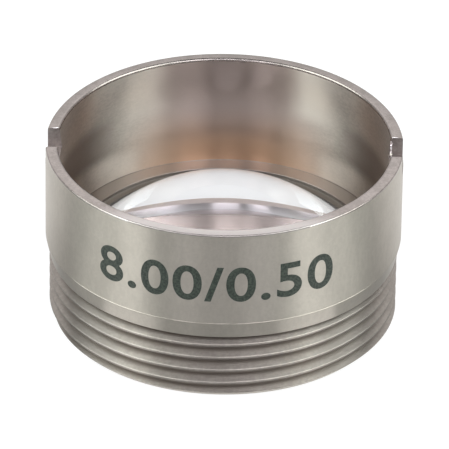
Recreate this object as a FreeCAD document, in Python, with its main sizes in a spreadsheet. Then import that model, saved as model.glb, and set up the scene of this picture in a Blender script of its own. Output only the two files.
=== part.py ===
import FreeCAD, Part

import math
import os

import Sketcher
from FreeCAD import Placement, Rotation, Vector

# Mounted aspheric lens, in millimetres.
# The Z axis is the optical axis and the axis of the thread.
# The origin is the middle of the threaded end face, and the open rim is the highest face.

doc = FreeCAD.newDocument("mounted_aspheric_lens")
sheet = doc.addObject("Spreadsheet::Sheet", "Sizes")


class Length:
    """A number together with the sheet expression that it comes from."""

    def __init__(self, number, text):
        self.number = number
        self.text = text

    def join(self, other, sign, number):
        """Join two lengths, or a length and a plain number, by an arithmetic sign."""
        right = other.text if isinstance(other, Length) else str(other)
        return Length(number, f"({self.text} {sign} {right})")

    def __add__(self, other):
        return self.join(other, "+", self.number + plain(other))

    def __sub__(self, other):
        return self.join(other, "-", self.number - plain(other))

    def __mul__(self, other):
        return self.join(other, "*", self.number * plain(other))

    def __truediv__(self, other):
        return self.join(other, "/", self.number / plain(other))


def plain(length_or_number):
    """The number in a length, or the number itself."""
    return length_or_number.number if isinstance(length_or_number, Length) else length_or_number


def square_root(length):
    """The square root of a length, with its expression."""
    return Length(math.sqrt(length.number), f"sqrt({length.text})")


def size(alias, number, meaning):
    """Write one driving dimension to the sheet: its name, its value and what it measures."""
    row = size.next_row
    sheet.set(f"A{row}", meaning)
    sheet.set(f"B{row}", str(number))
    sheet.setAlias(f"B{row}", alias)
    size.next_row = row + 1
    return Length(number, f"Sizes.{alias}")


size.next_row = 1

# Thread, right-hand M12 x 0.5
thread_diameter = size("thread_diameter", 11.97, "across the thread's crests")
thread_pitch = size("thread_pitch", 0.5, "crest to crest along the axis")
thread_crest = size("thread_crest", 0.07, "width of the flat on the crest")
thread_root = size("thread_root", 0.08, "width of the flat at the root")
thread_depth = size("thread_depth", 0.307, "crest to root, on the radius")
thread_length = size("thread_length", 2.45, "threaded end face to the flange")
thread_lead = size("thread_lead", 0.525, "end face down to the first groove's middle at the +X side")
end_chamfer = size("end_chamfer", 0.24, "45 degree chamfer of the threaded end")

# Flange and rim
cell_height = size("cell_height", 6.55, "threaded end face to rim")
flange_step = size("flange_step", 0.135, "thread's crest out to the plain flange, on the radius")
flange_taper = size("flange_taper", 0.60, "height of the cone from the crest to the flange")
rim_edge_break = size("rim_edge_break", 0.04, "chamfer on the rim's outer edge")
slot_width = size("slot_width", 1.27, "width of each spanner slot in the rim")
slot_depth = size("slot_depth", 0.75, "depth of each spanner slot from the rim")

# Inside of the cell
pocket_wall = size("pocket_wall", 0.668, "thread's root in to the lens pocket, on the radius")
pocket_chamfer = size("pocket_chamfer", 0.08, "chamfer at the mouth of the lens pocket")
pocket_recess = size("pocket_recess", 0.18, "lens's shoulder up to the ledge round the pocket")
ledge_width = size("ledge_width", 0.51, "pocket's chamfer out to the wide bore, on the radius")
mouth_widening = size("mouth_widening", 0.11, "wide bore out to its mouth at the rim, on the radius")
mouth_length = size("mouth_length", 0.80, "length of the taper from the rim to the wide bore")
mouth_edge_break = size("mouth_edge_break", 0.035, "chamfer on the rim's inner edge")
lip_thickness = size("lip_thickness", 1.04, "threaded end face to the seat of the lens")
seat_width = size("seat_width", 0.67, "lens's edge in to the cone below the seat, on the radius")
aperture_step = size("aperture_step", 0.35, "seat in to the aperture along the cone, on the radius")
aperture_land = size("aperture_land", 0.15, "height of the aperture's straight wall at the threaded end")

# Lens of 8 mm focal length
lens_clearance = size("lens_clearance", 0.04, "lens's edge out to the pocket wall, on the radius")
lens_thickness = size("lens_thickness", 3.69, "front vertex to back vertex")
front_radius = size("front_radius", 5.15, "vertex radius of the aspheric front face")
front_conic = size("front_conic", -0.82, "conic constant of the aspheric front face")
front_shoulder = size("front_shoulder", 0.24, "width of the flat ring round the front face")
back_radius = size("back_radius", 60, "radius of the back face")
back_margin = size("back_margin", 0.10, "seat's inner edge in to the curved back face, on the radius")
lens_edge_break = size("lens_edge_break", 0.10, "chamfer between the lens's edge and its seat ring")

# Adhesive
bead_width = size("bead_width", 0.19, "adhesive in from the pocket wall over the lens's shoulder")
bead_height = size("bead_height", 0.09, "adhesive up the pocket wall from the lens's shoulder")

doc.recompute()

# Radii, from the thread inward and outward
zero = Length(0.0, "0")
crest_r = thread_diameter / 2
root_r = crest_r - thread_depth
flange_r = crest_r + flange_step
pocket_r = root_r - pocket_wall
bore_r = pocket_r + pocket_chamfer + ledge_width
mouth_r = bore_r + mouth_widening
lens_r = pocket_r - lens_clearance
shoulder_r = lens_r - front_shoulder
seat_r = lens_r - seat_width
aperture_r = seat_r - aperture_step
back_r = seat_r - back_margin


def front_sag(radius):
    """Depth of the aspheric front face below its vertex, at one distance from the axis."""
    square = radius * radius
    under_root = zero + 1 - (front_conic + 1) * square / (front_radius * front_radius)
    return square / (front_radius * (square_root(under_root) + 1))


def back_sag(radius):
    """Height of the back face above its vertex, at one distance from the axis."""
    return back_radius - square_root(back_radius * back_radius - radius * radius)


# Heights, from the lens's seat up
seat_z = lip_thickness
back_vertex_z = seat_z - back_sag(back_r)
front_vertex_z = back_vertex_z + lens_thickness
shoulder_z = front_vertex_z - front_sag(shoulder_r)
ledge_z = shoulder_z + pocket_recess


def origin_plane(body, role):
    """Find one of the body's own origin planes by its role."""
    for feature in body.Origin.OriginFeatures:
        if feature.Role == role:
            return feature
    raise ValueError(role)


def new_sketch(body, name, role):
    """Start a sketch on one of the body's own origin planes."""
    sketch = body.newObject("Sketcher::SketchObject", name)
    sketch.AttachmentSupport = [(origin_plane(body, role), "")]
    sketch.MapMode = "FlatFace"
    return sketch


def hold_corner(sketch, line, kind, axis, length):
    """Hold the start of one line on an axis, or at a distance from the origin."""
    if length is zero:
        sketch.addConstraint(Sketcher.Constraint("PointOnObject", line, 1, axis))
        return
    index = sketch.addConstraint(Sketcher.Constraint(kind, -1, 1, line, 1, length.number))
    sketch.setExpression(f"Constraints[{index}]", length.text)


def outline(sketch, corners):
    """Draw a closed outline whose corners, across and up, follow the sheet."""
    points = [Vector(across.number, up.number, 0) for across, up in corners]
    count = len(points)
    for i in range(count):
        sketch.addGeometry(Part.LineSegment(points[i], points[(i + 1) % count]), False)
    for i in range(count):
        sketch.addConstraint(Sketcher.Constraint("Coincident", i, 2, (i + 1) % count, 1))
    for i, (across, up) in enumerate(corners):
        hold_corner(sketch, i, "DistanceX", -2, across)
        hold_corner(sketch, i, "DistanceY", -1, up)
    doc.recompute()


def turned(body, kind, name, corners):
    """Turn an outline in the XZ plane about the Z axis, to add or to take away."""
    sketch = new_sketch(body, f"{name}_section", "XZ_Plane")
    outline(sketch, corners)
    feature = body.newObject(kind, name)
    feature.Profile = sketch
    feature.ReferenceAxis = (sketch, ["V_Axis"])
    feature.Angle = 360
    doc.recompute()
    return feature


# Lens cell: turned from one bar of stainless steel
cell = doc.addObject("PartDesign::Body", "LensCell")
cell.Label = "lens_cell"

# Blank at the thread's crest, with the threaded end chamfered
turned(cell, "PartDesign::Revolution", "blank", [
    (zero, zero),
    (crest_r - end_chamfer, zero),
    (crest_r, end_chamfer),
    (crest_r, cell_height),
    (zero, cell_height),
])

# Thread groove: a helix that starts below the end face and runs on under the flange
groove_overcut = thread_depth / 2
flank_height = (thread_pitch - thread_crest - thread_root) / 2
half_root = thread_root / 2
half_mouth = half_root + flank_height + flank_height * groove_overcut / thread_depth
groove_z = zero - thread_lead
groove = new_sketch(cell, "thread_groove_section", "XZ_Plane")
outline(groove, [
    (root_r, groove_z - half_root),
    (crest_r + groove_overcut, groove_z - half_mouth),
    (crest_r + groove_overcut, groove_z + half_mouth),
    (root_r, groove_z + half_root),
])
thread = cell.newObject("PartDesign::SubtractiveHelix", "thread_groove")
thread.Profile = groove
thread.ReferenceAxis = (groove, ["V_Axis"])
thread.Mode = "pitch-height-angle"
thread.setExpression("Pitch", thread_pitch.text)
thread.setExpression("Height", (thread_lead + thread_length + thread_pitch).text)
thread.LeftHanded = False
thread.Reversed = False
doc.recompute()

# Flange: a cone rises from the crest to the plain cylinder, and the thread ends under it
turned(cell, "PartDesign::Revolution", "flange", [
    (zero, thread_length),
    (crest_r, thread_length),
    (flange_r, thread_length + flange_taper),
    (flange_r, cell_height - rim_edge_break),
    (flange_r - rim_edge_break, cell_height),
    (zero, cell_height),
])

# Bores: aperture, cone, seat, lens pocket, ledge, wide bore and tapered mouth
turned(cell, "PartDesign::Groove", "bores", [
    (zero, zero),
    (aperture_r, zero),
    (aperture_r, aperture_land),
    (seat_r, seat_z),
    (pocket_r, seat_z),
    (pocket_r, ledge_z - pocket_chamfer),
    (pocket_r + pocket_chamfer, ledge_z),
    (bore_r, ledge_z),
    (bore_r, cell_height - mouth_length),
    (mouth_r, cell_height - mouth_edge_break),
    (mouth_r + mouth_edge_break, cell_height),
    (zero, cell_height),
])

# Spanner slots: one pass of the cutter across the rim makes both
half_slot = slot_width / 2
slot_floor_z = cell_height - slot_depth
above_rim_z = cell_height + slot_depth
slots = new_sketch(cell, "spanner_slots_section", "YZ_Plane")
outline(slots, [
    (zero - half_slot, slot_floor_z),
    (half_slot, slot_floor_z),
    (half_slot, above_rim_z),
    (zero - half_slot, above_rim_z),
])
volume_before_slots = cell.Tip.Shape.Volume
slot_cut = cell.newObject("PartDesign::Pocket", "spanner_slots")
slot_cut.Profile = slots
slot_cut.Midplane = True
slot_cut.setExpression("Length", (flange_r * 4).text)
doc.recompute()
if cell.Tip.Shape.Volume >= volume_before_slots:
    raise RuntimeError("the spanner slots cut nothing")


def straight_edges(points):
    """Straight edges from point to point, each given as its distance from the axis and its height."""
    places = [Vector(radius, 0, height) for radius, height in points]
    return [Part.makeLine(start, end) for start, end in zip(places, places[1:])]


def turned_solid(edges):
    """Turn a closed section in the XZ plane about the Z axis into one solid."""
    section = Part.Face(Part.Wire(Part.sortEdges(edges)[0]))
    return section.revolve(Vector(0, 0, 0), Vector(0, 0, 1), 360)


def front_curve():
    """Section of the aspheric front face: a piece of the ellipse that its conic makes."""
    flattening = (front_conic + 1).number
    half_height = front_radius.number / flattening
    half_width = front_radius.number / math.sqrt(flattening)
    top = Vector(0, 0, front_vertex_z.number)
    middle = top - Vector(0, 0, half_height)
    ellipse = Part.Ellipse(top, middle + Vector(half_width, 0, 0), middle)
    outer_end = Vector(shoulder_r.number, 0, shoulder_z.number)
    ends = sorted([ellipse.parameter(top), ellipse.parameter(outer_end)])
    return Part.Arc(ellipse, ends[0], ends[1]).toShape()


def back_curve():
    """Section of the back face: an arc of its circle, from the vertex to the seat ring."""
    middle_r = back_r / 2
    return Part.Arc(
        Vector(0, 0, back_vertex_z.number),
        Vector(middle_r.number, 0, (back_vertex_z + back_sag(middle_r)).number),
        Vector(back_r.number, 0, seat_z.number),
    ).toShape()


# Aspheric lens: one piece of moulded glass, and the front face is a conic of revolution
lens = doc.addObject("Part::Feature", "AsphericLens")
lens.Label = "aspheric_lens"
lens.Shape = turned_solid([front_curve(), back_curve()] + straight_edges([
    (back_r.number, seat_z.number),
    ((lens_r - lens_edge_break).number, seat_z.number),
    (lens_r.number, (seat_z + lens_edge_break).number),
    (lens_r.number, shoulder_z.number),
    (shoulder_r.number, shoulder_z.number),
]) + straight_edges([
    (0, front_vertex_z.number),
    (0, back_vertex_z.number),
]))
lens.Placement = Placement(Vector(0, 0, 0), Rotation())

# Adhesive bead: a cured fillet between the lens's shoulder and the pocket wall
bead = doc.addObject("Part::Feature", "AdhesiveBead")
bead.Label = "adhesive_bead"
bead.Shape = turned_solid(straight_edges([
    ((pocket_r - bead_width).number, shoulder_z.number),
    (pocket_r.number, shoulder_z.number),
    (pocket_r.number, (shoulder_z + bead_height).number),
    ((pocket_r - bead_width).number, shoulder_z.number),
]))
bead.Placement = Placement(Vector(0, 0, 0), Rotation())

doc.recompute()

# Every object must have been made, and every piece must be one closed solid
pieces = [cell, lens, bead]
for item in doc.Objects:
    if "Invalid" in item.State or "Error" in item.State:
        raise RuntimeError(f"{item.Name} was not made: {item.State}")
for piece in pieces:
    shape = piece.Shape
    if shape.isNull() or not shape.isValid() or len(shape.Solids) != 1:
        raise RuntimeError(f"{piece.Label} is not one valid solid")

os.makedirs("parts", exist_ok=True)
for piece in pieces:
    piece.Shape.exportStep(f"parts/{piece.Label}.step")
    print(piece.Label, "volume", round(piece.Shape.Volume, 3), "mm3")
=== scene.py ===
import math
from collections import namedtuple

import bpy
from mathutils import Matrix, Vector


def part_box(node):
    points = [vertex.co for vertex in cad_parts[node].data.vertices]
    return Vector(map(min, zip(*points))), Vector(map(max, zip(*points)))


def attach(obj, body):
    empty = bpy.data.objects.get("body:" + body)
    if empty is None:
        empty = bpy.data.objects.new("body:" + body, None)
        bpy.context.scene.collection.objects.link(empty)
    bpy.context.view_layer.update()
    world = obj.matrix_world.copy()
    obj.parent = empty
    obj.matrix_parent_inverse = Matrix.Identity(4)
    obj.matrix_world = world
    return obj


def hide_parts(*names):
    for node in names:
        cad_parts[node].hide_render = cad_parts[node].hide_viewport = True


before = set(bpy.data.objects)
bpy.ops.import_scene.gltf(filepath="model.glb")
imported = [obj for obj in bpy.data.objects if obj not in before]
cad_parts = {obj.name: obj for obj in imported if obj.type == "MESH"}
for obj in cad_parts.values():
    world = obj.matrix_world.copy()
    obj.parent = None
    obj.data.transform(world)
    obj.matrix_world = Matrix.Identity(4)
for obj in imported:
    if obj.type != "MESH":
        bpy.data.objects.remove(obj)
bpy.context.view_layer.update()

mm = 0.001


# Lens cell: one piece of stainless steel, turned from bar on a small lathe, so every face
# round the axis carries fine turning marks. The thread is cut with a single point tool
# from the open end up to the flange, and the two spanner slots are sawn across the rim.
cell_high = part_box("lens_cell")[1]
cell_height = cell_high.z
marking_stand = 0.002 * mm
flange_radius = cell_high.y - marking_stand
flange_taper = 0.60 * mm
rim_edge_break = 0.055 * mm
rim_crown = 0.035 * mm
tool_line_depth = 0.009 * mm
tool_line_width = 0.027 * mm
crest_radius = cell_high.y - 0.135 * mm
thread_length = 2.45 * mm
thread_pitch = 0.5 * mm
thread_depth = 0.307 * mm
thread_crest = 0.07 * mm
thread_root = 0.08 * mm
thread_lead = 0.525 * mm
crest_break = 0.018 * mm
end_chamfer = 0.24 * mm
aperture_radius = 3.95 * mm
aperture_land = 0.15 * mm
seat_curve = ((0.15 * mm, 0.72 * mm), (0.10 * mm, 0.45 * mm), (0.06 * mm, 0.30 * mm))
seat_inner_radius = 4.30 * mm
seat_height = 1.04 * mm
pocket_radius = 5.01 * mm
pocket_edge_break = 0.03 * mm
ledge_height = 2.501 * mm
bore_radius = 5.60 * mm
mouth_radius = 5.71 * mm
mouth_length = 0.80 * mm
mouth_blend = 0.70 * mm
mouth_blend_steps = 16
mouth_edge_break = 0.10 * mm
slot_width = 1.27 * mm
slot_depth = 0.75 * mm
slot_edge_break = 0.025 * mm
lathe_steps = 240
weld_distance = 0.0002 * mm
cut_precision = 0.00001 * mm
smooth_limit = math.radians(9)


def broken_edge(before, corner, after, reach, steps=8):
    """The points of a corner that emery cloth has rounded, with this reach along each side."""
    before, corner, after = Vector(before), Vector(corner), Vector(after)
    start = corner + (before - corner).normalized() * reach
    end = corner + (after - corner).normalized() * reach
    points = []
    for i in range(steps + 1):
        share = i / steps
        points.append(tuple(start.lerp(corner, share).lerp(corner.lerp(end, share), share)))
    return points


def spin_section(name, corners, steps):
    """Draw a half section corner by corner, then turn it once round the optical axis."""
    bpy.ops.object.select_all(action="DESELECT")
    bpy.ops.mesh.primitive_plane_add(size=mm, location=(corners[0][0], 0, corners[0][1]))
    piece = bpy.context.object
    piece.name = name
    piece.data.name = name
    bpy.ops.object.transform_apply(location=True)
    bpy.ops.object.mode_set(mode="EDIT")
    bpy.ops.mesh.merge(type="CENTER")
    for (r0, z0), (r1, z1) in zip(corners, corners[1:]):
        bpy.ops.mesh.extrude_region_move(
            TRANSFORM_OT_translate={"value": (r1 - r0, 0, z1 - z0)})
    bpy.ops.mesh.select_all(action="SELECT")
    bpy.ops.mesh.spin(steps=steps, angle=2 * math.pi, center=(0, 0, 0), axis=(0, 0, 1))
    bpy.ops.mesh.select_all(action="SELECT")
    bpy.ops.mesh.remove_doubles(threshold=weld_distance)
    bpy.ops.mesh.normals_make_consistent(inside=False)
    bpy.ops.object.mode_set(mode="OBJECT")
    return piece


def cut_away(piece, cutter):
    """Take the cutter's shape out of the piece, and put the cutter away."""
    bpy.ops.object.select_all(action="DESELECT")
    bpy.context.view_layer.objects.active = piece
    piece.select_set(True)
    bpy.ops.object.modifier_add(type="BOOLEAN")
    cut = piece.modifiers[-1]
    cut.operation = "DIFFERENCE"
    cut.solver = "MANIFOLD"
    cut.object = cutter
    bpy.ops.object.modifier_apply(modifier=cut.name)
    bpy.data.objects.remove(cutter)


# Blank: the cell as it leaves the lathe, before the thread and the slots are cut
taper_end = thread_length + flange_taper
rim_outside = (flange_radius, cell_height - rim_crown)
rim_inside = (mouth_radius, cell_height)
mouth_end = (bore_radius, cell_height - mouth_length)
ledge_corner = (bore_radius, ledge_height)
pocket_corner = (pocket_radius, ledge_height)
cell = spin_section("turned_cell", [
    (aperture_radius, 0),
    (crest_radius - end_chamfer, 0),
    (crest_radius, end_chamfer),
    (crest_radius, thread_length),
    (flange_radius, taper_end),
    (flange_radius - tool_line_depth, taper_end + tool_line_depth),
    (flange_radius, taper_end + tool_line_width),
    *broken_edge((flange_radius, taper_end), rim_outside, rim_inside, rim_edge_break),
    *broken_edge(rim_outside, rim_inside, mouth_end, mouth_edge_break),
    *broken_edge(rim_inside, mouth_end, ledge_corner, mouth_blend, mouth_blend_steps),
    ledge_corner,
    *broken_edge(ledge_corner, pocket_corner, (pocket_radius, 0), pocket_edge_break),
    (pocket_radius, seat_height),
    (seat_inner_radius, seat_height),
    *[(aperture_radius + reach, height) for reach, height in seat_curve],
    (aperture_radius, aperture_land),
    (aperture_radius, 0),
], lathe_steps)

# Thread groove: the tool's point, swept up a right-hand helix. The tool's shoulders round
# off the crests as they pass.
flank_height = (thread_pitch - thread_crest - thread_root) / 2
root_half = thread_root / 2
mouth_half = root_half + flank_height
crest_slope = flank_height / thread_depth
shoulder_start = 0.4 * crest_break
shoulder_end = 1.6 * crest_break
half_outline = [
    (crest_radius - thread_depth, root_half),
    (crest_radius - crest_break, mouth_half - crest_break * crest_slope),
    (crest_radius, mouth_half + shoulder_start),
    (crest_radius + crest_break, mouth_half + shoulder_end),
]
tool_outline = [(radius, -height) for radius, height in half_outline] + half_outline[::-1]
bpy.ops.object.select_all(action="DESELECT")
bpy.ops.mesh.primitive_circle_add(vertices=len(tool_outline), radius=mm, fill_type="NOTHING")
thread_tool = bpy.context.object
for vertex, (radius, height) in zip(thread_tool.data.vertices, tool_outline):
    vertex.co = (radius, 0, height - thread_lead)
bpy.ops.object.modifier_add(type="SCREW")
helix = thread_tool.modifiers[-1]
helix.axis = "Z"
helix.angle = 2 * math.pi
helix.screw_offset = thread_pitch
helix.iterations = math.ceil((thread_length + thread_lead) / thread_pitch) + 1
helix.steps = lathe_steps
helix.render_steps = lathe_steps
bpy.ops.object.modifier_apply(modifier=helix.name)
bpy.ops.object.mode_set(mode="EDIT")
bpy.ops.mesh.select_all(action="SELECT")
bpy.ops.mesh.fill_holes(sides=0)
bpy.ops.mesh.select_all(action="SELECT")
bpy.ops.mesh.normals_make_consistent(inside=False)
bpy.ops.mesh.bisect(plane_co=(0, 0, thread_length), plane_no=(0, 0, 1), use_fill=True,
                    clear_outer=True, threshold=cut_precision)
bpy.ops.object.mode_set(mode="OBJECT")
cut_away(cell, thread_tool)

# Spanner slots: one saw cut across both sides of the rim, its top edges broken with a
# file. The saw's sides are upright up to the broken edge and open at 45 degrees above it.
straight_depth = slot_depth - slot_edge_break
saw_middle = cell_height - slot_edge_break - straight_depth / 2
saw_length = 3 * flange_radius
filed_rise = 2 * slot_edge_break
filed_widening = (slot_width + 2 * filed_rise) / slot_width
bpy.ops.mesh.primitive_cube_add(size=1, location=(0, 0, saw_middle))
slot_saw = bpy.context.object
bpy.ops.transform.resize(value=(saw_length, slot_width, straight_depth))
bpy.ops.object.transform_apply(location=True, rotation=True, scale=True)
bpy.ops.object.mode_set(mode="EDIT")
bpy.ops.mesh.select_all(action="DESELECT")
bpy.ops.object.mode_set(mode="OBJECT")
for vertex in slot_saw.data.vertices:
    vertex.select = vertex.co.z > saw_middle
bpy.ops.object.mode_set(mode="EDIT")
bpy.ops.mesh.extrude_region_move(TRANSFORM_OT_translate={"value": (0, 0, filed_rise)})
bpy.ops.transform.resize(value=(1, filed_widening, 1), center_override=(0, 0, cell_height))
bpy.ops.object.mode_set(mode="OBJECT")
cut_away(cell, slot_saw)

# Burr: the ragged lip that the saw left up one side of a slot, where it breaks into the bore
burr_width = 0.045 * mm
burr_length = slot_depth - 0.09 * mm
burr_low = cell_height - slot_depth - 0.03 * mm
burr_steps = 18
burr_raggedness = 0.045 * mm
burr_seed = 5
burr_middle = (
    math.sqrt(mouth_radius ** 2 - slot_width ** 2 / 4),
    slot_width / 2 - burr_width / 2,
    burr_low + burr_length / 2,
)
bpy.ops.mesh.primitive_cube_add(size=1, location=burr_middle)
burr = bpy.context.object
bpy.ops.transform.resize(value=(burr_width, burr_width, burr_length))
bpy.ops.object.transform_apply(location=True, rotation=True, scale=True)
bpy.ops.object.mode_set(mode="EDIT")
for i in range(1, burr_steps):
    burr_cut = (0, 0, burr_low + burr_length * i / burr_steps)
    bpy.ops.mesh.select_all(action="SELECT")
    bpy.ops.mesh.bisect(plane_co=burr_cut, plane_no=(0, 0, 1), threshold=cut_precision)
bpy.ops.mesh.select_all(action="SELECT")
bpy.ops.transform.vertex_random(offset=burr_raggedness, seed=burr_seed)
bpy.ops.object.mode_set(mode="OBJECT")
burr.select_set(True)
cell.select_set(True)
bpy.context.view_layer.objects.active = cell
bpy.ops.object.join()
bpy.ops.object.shade_smooth_by_angle(angle=smooth_limit)


def new_material(name):
    """A material whose nodes can be set one by one, and its main shader."""
    material = bpy.data.materials.new(name)
    material.use_nodes = True
    return material, material.node_tree.nodes["Principled BSDF"]


def add_node(tree, kind, **settings):
    """Add one node and set its own settings."""
    node = tree.nodes.new(kind)
    for key, value in settings.items():
        setattr(node, key, value)
    return node


def arithmetic(tree, operation, *inputs):
    """Add one math node, with numbers or sockets as its inputs, and give its output."""
    node = add_node(tree, "ShaderNodeMath", operation=operation)
    for socket, value in zip(node.inputs, inputs):
        if isinstance(value, (int, float)):
            socket.default_value = value
        else:
            tree.links.new(value, socket)
    return node.outputs[0]


def product(tree, level, *factors):
    """Multiply a level by others, each a number or a socket."""
    for factor in factors:
        level = arithmetic(tree, "MULTIPLY", level, factor)
    return level


Place = namedtuple("Place", "point x y z radius")


def object_place(tree):
    """Where a point is on the object: the point itself, its x, y, z and its radius."""
    point = add_node(tree, "ShaderNodeTexCoord").outputs["Object"]
    axes = add_node(tree, "ShaderNodeSeparateXYZ")
    tree.links.new(point, axes.inputs[0])
    x, y, z = axes.outputs
    square = arithmetic(tree, "ADD", product(tree, x, x), product(tree, y, y))
    return Place(point, x, y, z, arithmetic(tree, "SQRT", square))


def between(tree, value, start, end, low=0.0, high=1.0):
    """A level that goes smoothly from low to high while the value goes from start to end."""
    level = add_node(tree, "ShaderNodeMapRange", interpolation_type="SMOOTHSTEP")
    tree.links.new(value, level.inputs["Value"])
    for name, number in (("From Min", start), ("From Max", end), ("To Min", low), ("To Max", high)):
        level.inputs[name].default_value = number
    return level.outputs[0]


def patch(tree, *edges):
    """A patch of the surface with soft edges, whose levels are multiplied. Each edge gives a
    distance, where the level starts and ends along it in mm, and what it goes from and to,
    which is 0 to 1 unless given."""
    levels = [between(tree, distance, start * mm, end * mm, *ends)
              for distance, start, end, *ends in edges]
    return product(tree, *levels)


def noise(tree, place, scale, detail=2.0):
    """Even noise with features of about one over the scale, in metres."""
    texture = add_node(tree, "ShaderNodeTexNoise")
    texture.inputs["Scale"].default_value = scale
    texture.inputs["Detail"].default_value = detail
    tree.links.new(place, texture.inputs["Vector"])
    return texture.outputs["Fac"]


def blend_colour(tree, share, first, second):
    """Mix two colours, each three numbers or a socket, by a share from 0 to 1."""
    mix = add_node(tree, "ShaderNodeMix", data_type="RGBA")
    tree.links.new(share, mix.inputs["Factor"])
    for socket, colour in ((mix.inputs[6], first), (mix.inputs[7], second)):
        if isinstance(colour, tuple):
            socket.default_value = (*colour, 1)
        else:
            tree.links.new(colour, socket)
    return mix.outputs[2]


def turned_steel(name, light_colour, dark_colour, grain_depth, ring_depth, streak_shape):
    """Satin steel off the lathe: fine rings round the axis, and a grain like frost."""
    ring_scale, drift_scale = 20000.0, 400.0
    grain_scale, cloud_scale, streak_scale, streak_detail = 11000.0, 900.0, 3600.0, 3.0
    grain_part, cloud_part, streak_part = 0.3, 0.3, 0.4
    darkest, lightest = 0.38, 0.62
    material, shader = new_material(name)
    tree = material.node_tree
    links = tree.links
    at = object_place(tree)
    feed = arithmetic(tree, "ADD", at.radius, at.z)
    ring_place = add_node(tree, "ShaderNodeCombineXYZ")
    links.new(product(tree, at.x, drift_scale), ring_place.inputs[0])
    links.new(product(tree, at.y, drift_scale), ring_place.inputs[1])
    links.new(product(tree, feed, ring_scale), ring_place.inputs[2])
    rings = noise(tree, ring_place.outputs[0], 1.0)
    grain = noise(tree, at.point, grain_scale)
    ring_bump = add_node(tree, "ShaderNodeBump")
    ring_bump.inputs["Distance"].default_value = ring_depth
    links.new(rings, ring_bump.inputs["Height"])
    grain_bump = add_node(tree, "ShaderNodeBump")
    grain_bump.inputs["Distance"].default_value = grain_depth
    links.new(grain, grain_bump.inputs["Height"])
    links.new(ring_bump.outputs["Normal"], grain_bump.inputs["Normal"])
    links.new(grain_bump.outputs["Normal"], shader.inputs["Normal"])
    streak_place = add_node(tree, "ShaderNodeMapping")
    streak_place.inputs["Scale"].default_value = streak_shape
    links.new(at.point, streak_place.inputs["Vector"])
    streaks = noise(tree, streak_place.outputs[0], streak_scale, streak_detail)
    cloud = noise(tree, at.point, cloud_scale)
    mottle = arithmetic(tree, "ADD", product(tree, streaks, streak_part),
                        arithmetic(tree, "ADD", product(tree, cloud, cloud_part),
                                   product(tree, grain, grain_part)))
    share = between(tree, mottle, darkest, lightest)
    links.new(blend_colour(tree, share, dark_colour, light_colour), shader.inputs["Base Color"])
    shader.inputs["Metallic"].default_value = 1
    shader.inputs["Anisotropic"].default_value = 0.95
    shader.inputs["Anisotropic Rotation"].default_value = 0.25
    return material, shader


def own_colour(shader):
    """The colour that a finish has so far, as a socket."""
    return shader.inputs["Base Color"].links[0].from_socket


# Outside: an even satin, smoother on the taper
outside_steel, outside_shader = turned_steel(
    "turned_stainless_steel", (0.545, 0.500, 0.444), (0.497, 0.455, 0.404),
    0.0024 * mm, 0.0010 * mm, (2, 2, 0.9))
outside_tree = outside_steel.node_tree
at = object_place(outside_tree)
taper_gloss, flange_satin, satin_edge = 0.29, 0.36, 0.02 * mm
outside_tree.links.new(
    between(outside_tree, at.z, taper_end - satin_edge, taper_end + satin_edge,
            taper_gloss, flange_satin), outside_shader.inputs["Roughness"])

# Rim: faced last, with a finer feed, and a painted highlight that lightens its front arc
rim_steel, rim_shader = turned_steel(
    "faced_stainless_steel", (0.43, 0.38, 0.36), (0.35, 0.31, 0.29),
    0.0012 * mm, 0.0012 * mm, (1, 1, 1))
rim_shader.inputs["Roughness"].default_value = 0.27
rim_shader.inputs["Anisotropic"].default_value = 0.6
rim_tree = rim_steel.node_tree
at = object_place(rim_tree)
# Painted highlight: the rim's front arc is lightened in its colour
front_highlight_colour = (0.66, 0.61, 0.595)
painted_front_highlight = patch(rim_tree, (at.y, -4.3, -5.4))
rim_tree.links.new(blend_colour(rim_tree, painted_front_highlight, own_colour(rim_shader), front_highlight_colour),
                   rim_shader.inputs["Base Color"])

# Bore: matt half way up, smoother below and polished at the mouth. The back wall has painted
# reflections, warm with copper low down, a painted highlight to each side, and painted shade beyond
# and in the middle.
bore_steel, bore_shader = turned_steel(
    "bored_stainless_steel", (0.57, 0.515, 0.47), (0.47, 0.425, 0.39),
    0.0004 * mm, 0.0022 * mm, (1.2, 1.2, 5))
bore_tree = bore_steel.node_tree
at = object_place(bore_tree)
across = arithmetic(bore_tree, "ABSOLUTE", at.x)
matt = between(bore_tree, at.z, 3.6 * mm, 4.2 * mm, 0.36, 0.43)
mouth_polish = patch(bore_tree, (at.z, 4.4, 5.9, 0.0, 0.145), (at.y, 2.4, 4.8, 0.6, 1.0))
bore_tree.links.new(arithmetic(bore_tree, "SUBTRACT", matt, mouth_polish),
                    bore_shader.inputs["Roughness"])
# Painted reflections: a warm tint and a copper tint on the back wall, in the colour
painted_warm_reflection = patch(bore_tree, (across, 4.0, 2.0, 0.0, 0.9), (at.y, 3.0, 4.5))
painted_copper_reflection = patch(bore_tree, (at.z, 4.9, 2.9), (across, 4.3, 1.0), (at.y, 3.0, 4.5))
# Painted shade: the bore's colour darkens to each side and in the middle
painted_side_shade = patch(bore_tree, (at.z, 5.4, 4.7), (at.z, 3.3, 3.9), (across, 3.3, 4.6, 0.0, 0.85))
painted_middle_shade = patch(bore_tree, (across, 1.7, 0.5), (at.z, 3.3, 3.9), (at.z, 5.0, 5.8, 0.28, 0.50))
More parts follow.
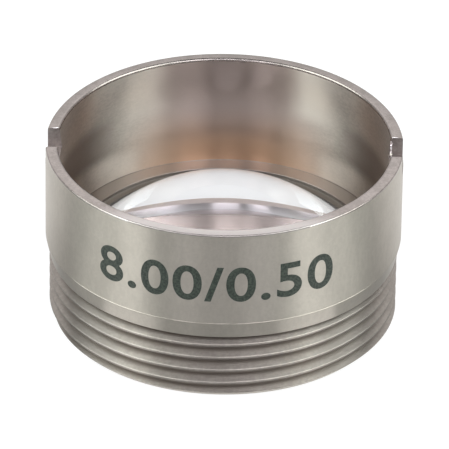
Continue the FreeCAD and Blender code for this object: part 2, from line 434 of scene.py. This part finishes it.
# Painted highlights: lighter colour patches to each side of the back wall, high and low
painted_upper_highlight = patch(bore_tree, (across, 1.8, 2.8), (across, 4.2, 3.0),
                    (at.x, -2.0, 2.0, 0.35, 0.85), (at.z, 4.3, 5.0), (at.y, 3.0, 4.2))
painted_lower_highlight = patch(bore_tree, (across, 2.9, 3.5), (across, 5.0, 4.3), (at.z, 3.7, 3.2, 0.0, 0.4))
bore_colour = own_colour(bore_shader)
for share, colour in (
    (painted_warm_reflection, (0.54, 0.440, 0.405)),
    (painted_copper_reflection, (0.57, 0.37, 0.25)),
    (arithmetic(bore_tree, "MAXIMUM", painted_side_shade, painted_middle_shade), (0.23, 0.195, 0.175)),
    (arithmetic(bore_tree, "MAXIMUM", painted_upper_highlight, painted_lower_highlight), (0.80, 0.735, 0.675)),
):
    bore_colour = blend_colour(bore_tree, share, bore_colour, colour)

# Ledge: the same steel with painted shading, palest in the middle and darker to each side, over the
# pocket's wall, which is painted dark as shade
ledge_painted_shading = blend_colour(bore_tree, patch(bore_tree, (across, 0.9, 2.6)),
                            (0.50, 0.45, 0.43), (0.36, 0.31, 0.285))
ledge_painted_shading = blend_colour(bore_tree, patch(bore_tree, (across, 2.7, 4.1)),
                            ledge_painted_shading, (0.21, 0.18, 0.165))
# Painted shade: the pocket's wall under the ledge is darkened in its colour
painted_pocket_shade = (0.25, 0.215, 0.195)
pocket_top = ledge_height - 0.02 * mm
ledge_start = ledge_height + 0.01 * mm
ledge_end = ledge_height + 0.03 * mm
ledge_painted_shading = blend_colour(bore_tree, between(bore_tree, at.z, pocket_top, ledge_height),
                            painted_pocket_shade, ledge_painted_shading)
bore_colour = blend_colour(bore_tree, between(bore_tree, at.z, ledge_start, ledge_end),
                           ledge_painted_shading, bore_colour)
bore_tree.links.new(bore_colour, bore_shader.inputs["Base Color"])

# Seat: the cone below the lens is reamed and nearly bright, and duller towards the aperture
seat_steel, seat_shader = turned_steel(
    "reamed_stainless_steel", (0.88, 0.82, 0.84), (0.78, 0.70, 0.72),
    0.0004 * mm, 0.0008 * mm, (1, 1, 1))
seat_tree = seat_steel.node_tree
at = object_place(seat_tree)
seat_colour = own_colour(seat_shader)
for lower_colour, start, end in (
    ((0.70, 0.63, 0.635), 0.15, 0.50),
    ((0.66, 0.55, 0.51), 0.12, 0.18),
):
    seat_colour = blend_colour(seat_tree, patch(seat_tree, (at.z, start, end)),
                               lower_colour, seat_colour)
seat_tree.links.new(seat_colour, seat_shader.inputs["Base Color"])
seat_tree.links.new(between(seat_tree, at.z, 0.20 * mm, 0.45 * mm, 0.28, 0.31),
                    seat_shader.inputs["Roughness"])

# Thread: a duller cut, with painted shade to each side and painted shade in its roots
thread_steel, thread_shader = turned_steel(
    "threaded_stainless_steel", (0.46, 0.415, 0.38), (0.38, 0.34, 0.31),
    0.0065 * mm, 0.0020 * mm, (1.5, 1.5, 1.5))
thread_shader.inputs["Roughness"].default_value = 0.41
thread_shader.inputs["Anisotropic"].default_value = 0.7
thread_tree = thread_steel.node_tree
at = object_place(thread_tree)
across = arithmetic(thread_tree, "ABSOLUTE", at.x)
thread_side_shade_colour = (0.26, 0.235, 0.215)
painted_root_shade_colour = (0.31, 0.27, 0.24)
# Painted shade: the thread's colour darkens to each side
painted_thread_side_shade = patch(thread_tree, (across, 2.9, 4.0, 0.0, 0.8), (across, 5.5, 4.9))
crest_colour = blend_colour(thread_tree, painted_thread_side_shade, own_colour(thread_shader), thread_side_shade_colour)
# Painted shade in the roots: the colour darkens towards the bottom of the groove
root_shade_low = crest_radius - thread_depth
root_shade_high = crest_radius - 0.3 * thread_depth
out_of_root = between(thread_tree, at.radius, root_shade_low, root_shade_high)
thread_tree.links.new(blend_colour(thread_tree, out_of_root, painted_root_shade_colour, crest_colour),
                      thread_shader.inputs["Base Color"])

# Slots: sawn faces, duller and darker, with no turning marks
slot_steel, slot_shader = turned_steel(
    "sawn_stainless_steel", (0.44, 0.395, 0.38), (0.31, 0.275, 0.265),
    0.0060 * mm, 0.0, (1, 1, 1))
slot_shader.inputs["Roughness"].default_value = 0.42
slot_shader.inputs["Anisotropic"].default_value = 0

# Finishes: each face takes the finish that its tool left, told by its place and direction.
# The filed edges and the burr are as bright as the seat, and the lower faces of the rim's outer
# edge at the front take the slots' dark steel as a painted shade line.
cell_finishes = (outside_steel, rim_steel, bore_steel, seat_steel, thread_steel, slot_steel)
outside, rim, bore, seat, thread, slot = range(len(cell_finishes))
cell.data.materials.clear()
for steel in cell_finishes:
    cell.data.materials.append(steel)
square_on = 0.99
slot_side = slot_width / 2 + 0.001 * mm
slot_low = cell_height - slot_depth - 0.05 * mm
filed_middle = (slot_width + slot_edge_break) / 2
filed_half = 0.008 * mm
filed_low = cell_height - 0.03 * mm
filed_steepest, filed_flattest = 0.3, 0.95
rim_low = cell_height - 0.13 * mm
rim_outer = flange_radius - 0.02 * mm
shade_line_front = -5.3 * mm
shade_line_flattest = 0.7
burr_facet = 0.006 * mm * mm
burr_reach = 0.09 * mm
bore_outer = mouth_radius + 0.05 * mm
bore_low = seat_height + 0.01 * mm
seat_low = 0.02 * mm
thread_low = 0.01 * mm
chamfer_normal = -math.sqrt(0.5)
chamfer_spread = 0.05
for face in cell.data.polygons:
    middle, normal = face.center, face.normal
    radius = math.hypot(middle.x, middle.y)
    in_slot = abs(middle.y) < slot_side and middle.z > slot_low
    on_filed_edge = (abs(abs(middle.y) - filed_middle) < filed_half and middle.z > filed_low
                     and filed_steepest < normal.z < filed_flattest)
    on_burr = (in_slot and middle.x > 0 and abs(radius - mouth_radius) < burr_reach
               and face.area < burr_facet)
    if in_slot and (abs(normal.y) > square_on or normal.z > square_on):
        face.material_index = slot
    elif on_filed_edge:
        face.material_index = seat
    elif middle.z > rim_low:
        # Painted shade: the lower faces of the rim's outer rounding at the front take the dark slot
        # steel
        painted_edge_shade = radius > rim_outer and normal.z < shade_line_flattest and middle.y < shade_line_front
        face.material_index = slot if painted_edge_shade else rim
    elif on_burr:
        face.material_index = seat
    elif radius < bore_outer and middle.z > bore_low:
        face.material_index = bore
    elif radius < pocket_radius and middle.z > seat_low:
        face.material_index = seat
    elif thread_low < middle.z < thread_length:
        on_chamfer = middle.z < end_chamfer and abs(normal.z - chamfer_normal) < chamfer_spread
        face.material_index = outside if on_chamfer else thread
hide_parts("lens_cell")
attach(cell, "root")


# Marking: the focal length and the aperture as plain numbers, burnt dark by a laser. It is
# written flat, diced to the flange's own facets, and wrapped round the front of the flange.
marking_numbers = "8.00/0.50"
marking_height = 1.35 * mm
marking_middle = 4.60 * mm
marking_turn = math.radians(-1.0)
marking_size = 2.12 * mm
marking_weight = 0.036 * mm
marking_spacing = 1.08
marking_half_depth = 0.4 * marking_stand
marking_cuts = 40
marking_weld = 0.0001 * mm
bpy.ops.object.text_add(location=(0, 0, 0))
marking = bpy.context.object
marking.name = "laser_marking"
marking.data.body = marking_numbers
marking.data.align_x = "CENTER"
marking.data.size = marking_size
marking.data.offset = marking_weight
marking.data.extrude = marking_half_depth
marking.data.space_character = marking_spacing
bpy.ops.object.convert(target="MESH")
marking = bpy.context.object
lowest = min(vertex.co.y for vertex in marking.data.vertices)
tallest = max(vertex.co.y for vertex in marking.data.vertices) - lowest
facet_width = 2 * math.pi / lathe_steps * flange_radius
bpy.ops.object.mode_set(mode="EDIT")
bpy.ops.mesh.select_all(action="SELECT")
bpy.ops.mesh.remove_doubles(threshold=marking_weld)
for i in range(-marking_cuts, marking_cuts + 1):
    bpy.ops.mesh.select_all(action="SELECT")
    bpy.ops.mesh.bisect(plane_co=(i * facet_width, 0, 0), plane_no=(1, 0, 0),
                        threshold=cut_precision)
bpy.ops.object.mode_set(mode="OBJECT")
for vertex in marking.data.vertices:
    angle = vertex.co.x / flange_radius + marking_turn
    radius = flange_radius + marking_stand / 2 + vertex.co.z
    height = marking_middle + marking_height * ((vertex.co.y - lowest) / tallest - 0.5)
    vertex.co = (radius * math.sin(angle), -radius * math.cos(angle), height)
burnt_steel, burnt_shader = new_material("burnt_steel")
burnt_tree = burnt_steel.node_tree
burnt_scale = 14000.0
burnt_share = between(burnt_tree, noise(burnt_tree, object_place(burnt_tree).point, burnt_scale),
                      0.35, 0.65)
burnt_tree.links.new(
    blend_colour(burnt_tree, burnt_share, (0.020, 0.028, 0.022), (0.058, 0.070, 0.056)),
    burnt_shader.inputs["Base Color"])
burnt_shader.inputs["Roughness"].default_value = 0.42
marking.data.materials.clear()
marking.data.materials.append(burnt_steel)
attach(marking, "root")


# Aspheric lens: one piece of moulded optical glass with a coating on both faces. The
# front is a conic of revolution with a flat ring round it, and the back is nearly flat.
lens_low, lens_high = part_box("aspheric_lens")
lens_radius = 4.97 * mm
front_vertex = lens_high.z
back_vertex = lens_low.z
front_radius = 5.15 * mm
front_conic = -0.82
shoulder_radius = 4.73 * mm
back_radius = 60 * mm
back_edge = 4.20 * mm
lens_edge_break = 0.10 * mm
front_rings = 72
back_rings = 16


def front_height(radius):
    """Height of the front face at one distance from the axis."""
    square = radius * radius
    root = math.sqrt(1 - (1 + front_conic) * square / front_radius ** 2)
    return front_vertex - square / (front_radius * (1 + root))


def back_height(radius):
    """Height of the back face at one distance from the axis."""
    return back_vertex + back_radius - math.sqrt(back_radius ** 2 - radius * radius)


front_radii = [shoulder_radius * i / front_rings for i in range(front_rings, -1, -1)]
back_radii = [back_edge * i / back_rings for i in range(back_rings + 1)]
shoulder_height = front_height(shoulder_radius)
lens = spin_section("moulded_lens", [
    *[(radius, back_height(radius)) for radius in back_radii],
    (lens_radius - lens_edge_break, seat_height),
    (lens_radius, seat_height + lens_edge_break),
    (lens_radius, shoulder_height),
    *[(radius, front_height(radius)) for radius in front_radii],
], lathe_steps)
bpy.ops.object.shade_smooth_by_angle(angle=smooth_limit)

coated_glass, glass_shader = new_material("coated_optical_glass")
glass_shader.inputs["Base Color"].default_value = (0.965, 0.972, 0.99, 1)
glass_shader.inputs["Roughness"].default_value = 0.0
glass_shader.inputs["IOR"].default_value = 1.605
glass_shader.inputs["Specular Tint"].default_value = (0.15, 0.17, 0.21, 1)
glass_shader.inputs["Transmission Weight"].default_value = 1
lens.data.materials.append(coated_glass)
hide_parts("aspheric_lens")
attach(lens, "root")


# Adhesive: a cured dark amber bead, run by hand round the lens's shoulder, which holds
# the lens in its pocket. It climbs the wall in a hollow fillet.
bead_width = 0.19 * mm
bead_height = 0.09 * mm
bead_steps = 6
bead_smooth_limit = math.radians(40)
bead_corner = (pocket_radius, shoulder_height)
bead_hollow = []
for i in range(bead_steps + 1):
    turn = math.pi / 2 * i / bead_steps
    bead_hollow.append((
        pocket_radius - bead_width * (1 - math.sin(turn)),
        shoulder_height + bead_height * (1 - math.cos(turn)),
    ))
bead = spin_section("adhesive_fillet", bead_hollow + [bead_corner, bead_hollow[0]], lathe_steps)
bpy.ops.object.shade_smooth_by_angle(angle=bead_smooth_limit)
adhesive, adhesive_shader = new_material("cured_adhesive")
adhesive_shader.inputs["Base Color"].default_value = (0.13, 0.107, 0.088, 1)
adhesive_shader.inputs["Roughness"].default_value = 0.5
bead.data.materials.append(adhesive)
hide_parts("adhesive_bead")
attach(bead, "root")


# Studio: a matt grey table that glows white where it is looked at, straight or through
# the lens. In the steel's reflections it glows in a painted pattern: white behind the object and
# close under it, nearly dark in front, and pale in a lobe to each side, a painted reflection of no
# real light.
table_size = 3.0
table_glow = 0.82
bpy.ops.mesh.primitive_plane_add(size=table_size, location=(0, 0, 0))
table = bpy.context.object
table.name = "table"
table_white, table_shader = new_material("white_table")
table_shader.inputs["Base Color"].default_value = (0.20, 0.20, 0.20, 1)
table_shader.inputs["Roughness"].default_value = 0.9
table_tree = table_white.node_tree
ray = add_node(table_tree, "ShaderNodeLightPath")
at = object_place(table_tree)

# Painted reflection lobes: by how far sideways a point lies for each step forward, near the object
# and beyond
lobe_start, lobe_end = 8.5 * mm, 9.5 * mm
sideways = arithmetic(table_tree, "DIVIDE", arithmetic(table_tree, "ABSOLUTE", at.x),
                      product(table_tree, at.y, -1.0))
lobe_outside = between(table_tree, sideways, 1.75, 1.30)
near_lobes = product(table_tree, between(table_tree, sideways, 0.36, 0.62, 0.0, 0.85), lobe_outside)
far_lobes = product(
    table_tree, between(table_tree, sideways, 0.55, 0.95, 0.0, 0.85),
    arithmetic(table_tree, "MAXIMUM", lobe_outside,
               between(table_tree, sideways, 6.0, 2.5, 0.0, 0.6)))
painted_reflection_glow = arithmetic(
    table_tree, "ADD",
    product(table_tree, near_lobes, between(table_tree, at.radius, lobe_end, lobe_start)),
    product(table_tree, far_lobes, between(table_tree, at.radius, lobe_start, lobe_end)))
# Painted reflection: dim in front, bright behind the object and close under it, seen only by glossy
# rays
in_front = between(table_tree, sideways, 0.0, 0.25, 0.10, 0.18)
behind_object = patch(table_tree, (at.y, -3.0, 8.0, 0.0, 0.95))
under_object = patch(table_tree, (at.radius, 6.3, 6.1, 0.0, 0.8))
for level in (in_front, behind_object, under_object):
    painted_reflection_glow = arithmetic(table_tree, "MAXIMUM", painted_reflection_glow, level)
seen = product(table_tree, ray.outputs["Is Glossy Ray"], painted_reflection_glow)
for level in (ray.outputs["Is Transmission Ray"], ray.outputs["Is Camera Ray"]):
    seen = arithmetic(table_tree, "MAXIMUM", seen, level)
table_shader.inputs["Emission Color"].default_value = (1, 1, 1, 1)
table_tree.links.new(product(table_tree, seen, table_glow),
                     table_shader.inputs["Emission Strength"])
table.data.materials.append(table_white)

# Room: dim, with a pale wall behind the object that is brightest above eye level
room_base_level = 0.14
world = bpy.data.worlds.new("studio")
bpy.context.scene.world = world
world.use_nodes = True
room_tree = world.node_tree
room = room_tree.nodes["Background"]
room.inputs["Color"].default_value = (1, 1, 1, 1)
room_place = add_node(room_tree, "ShaderNodeTexCoord")
room_axes = add_node(room_tree, "ShaderNodeSeparateXYZ")
room_tree.links.new(room_place.outputs["Generated"], room_axes.inputs[0])
wall = between(room_tree, room_axes.outputs["Y"], 0.05, 0.90)
rising = between(room_tree, room_axes.outputs["Z"], 0.35, 0.60, 0.60, 1.20)
below_ceiling = between(room_tree, room_axes.outputs["Z"], 0.90, 0.75)
room_level = arithmetic(room_tree, "MULTIPLY_ADD", product(room_tree, rising, below_ceiling), wall,
                        room_base_level)
room_tree.links.new(room_level, room.inputs["Strength"])


def lamp(name, azimuth, elevation, distance, width, height, level, colour):
    """A flat lamp that faces the object and looks as bright as its level."""
    turn, rise = math.radians(azimuth), math.radians(elevation)
    towards = Vector((
        math.cos(rise) * math.sin(turn),
        -math.cos(rise) * math.cos(turn),
        math.sin(rise),
    ))
    bpy.ops.object.light_add(type="AREA", location=towards * distance)
    light = bpy.context.object
    light.name = name
    light.data.shape = "RECTANGLE"
    light.data.size = width
    light.data.size_y = height
    light.data.energy = level * math.pi * width * height
    light.data.color = colour
    light.rotation_euler = (-towards).to_track_quat("-Z", "Y").to_euler()


# Softboxes: one on each side, a little in front
for name, azimuth in (("softbox_left", -74), ("softbox_right", 74)):
    lamp(name, azimuth, elevation=37, distance=0.30, width=0.30, height=0.22, level=3.9,
         colour=(0.93, 1.0, 0.97))

# Panels: four upright ones above the camera, whose gaps make the dark bands in the steel
for name, azimuth, width in (("panel_one", -26, 0.082), ("panel_two", -7.6, 0.030),
                             ("panel_three", 1.3, 0.045), ("panel_four", 25, 0.150)):
    lamp(name, azimuth, elevation=41, distance=0.45, width=width, height=0.28, level=4.1,
         colour=(0.95, 0.96, 1.0))

# Fill: one small weak lamp low in front, for the flange
lamp("low_fill", -16, elevation=14, distance=0.45, width=0.085, height=0.10, level=1.8,
     colour=(0.97, 0.97, 1.0))

# Camera: a long lens from the front, looking down a third of the way
view_turn = math.radians(1.7)
view_tilt = math.radians(31.363)
view_roll = math.radians(0.817)
view_distance = 224.07 * mm
view_target = Matrix.Rotation(view_turn, 3, "Z") @ Vector((0.035 * mm, 0, 3.245 * mm))
towards_camera = Vector((
    math.cos(view_tilt) * math.sin(view_turn),
    -math.cos(view_tilt) * math.cos(view_turn),
    math.sin(view_tilt),
))
focal_pixels = 6519.3
picture_pixels = 449
camera_data = bpy.data.cameras.new("camera")
camera = bpy.data.objects.new("camera", camera_data)
bpy.context.scene.collection.objects.link(camera)
camera_data.sensor_width = 36
camera_data.lens = focal_pixels / picture_pixels * camera_data.sensor_width
camera_data.clip_start = 0.01
camera_data.clip_end = 10
aim = (-towards_camera).to_track_quat("-Z", "Y").to_matrix() @ Matrix.Rotation(view_roll, 3, "Z")
stand = Matrix.Translation(view_target + towards_camera * view_distance)
camera.matrix_world = stand @ aim.to_4x4()
bpy.context.scene.camera = camera
bpy.context.scene.view_settings.view_transform = "Standard"
